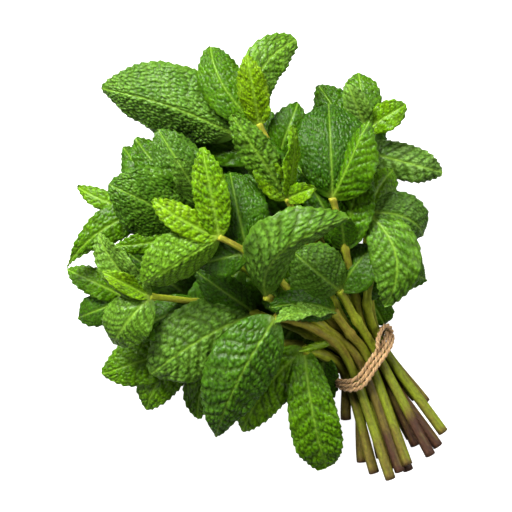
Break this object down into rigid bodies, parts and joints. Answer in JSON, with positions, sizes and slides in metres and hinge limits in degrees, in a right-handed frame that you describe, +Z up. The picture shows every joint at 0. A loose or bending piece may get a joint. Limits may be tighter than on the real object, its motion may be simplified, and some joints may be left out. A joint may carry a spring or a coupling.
{
  "type": "tied bunch of fresh mint",
  "caption": "Bunch of fresh leafy mint sprigs lying on its side, tied round the bare stems with jute twine.",
  "frame": {"origin": "on the surface that the bunch lies on, right under the tie, in the middle of the twine's flat spot", "axes": "+X along the bare stems towards their cut ends, -X to the leafy head; +Z up off the surface; +Y across the bunch"},
  "size_m": [0.198, 0.1611, 0.0724],
  "materials": {
    "mint": "satin",
    "jute": "matte"
  },
  "bodies": {
    "root": {"sprig_crown": "mint", "sprig_arch": "mint", "sprig_collar": "mint", "sprig_curl": "mint", "sprig_front": "mint", "sprig_nest": "mint", "sprig_hood": "mint", "sprig_spire": "mint", "sprig_west": "mint", "sprig_east": "mint", "sprig_skirt": "mint", "sprig_north": "mint", "sprig_ridge": "mint", "sprig_shade": "mint", "sprig_wing": "mint", "sprig_under_east": "mint", "sprig_south": "mint", "sprig_under_west": "mint", "twine": "jute"}
  },
  "joints": []
}
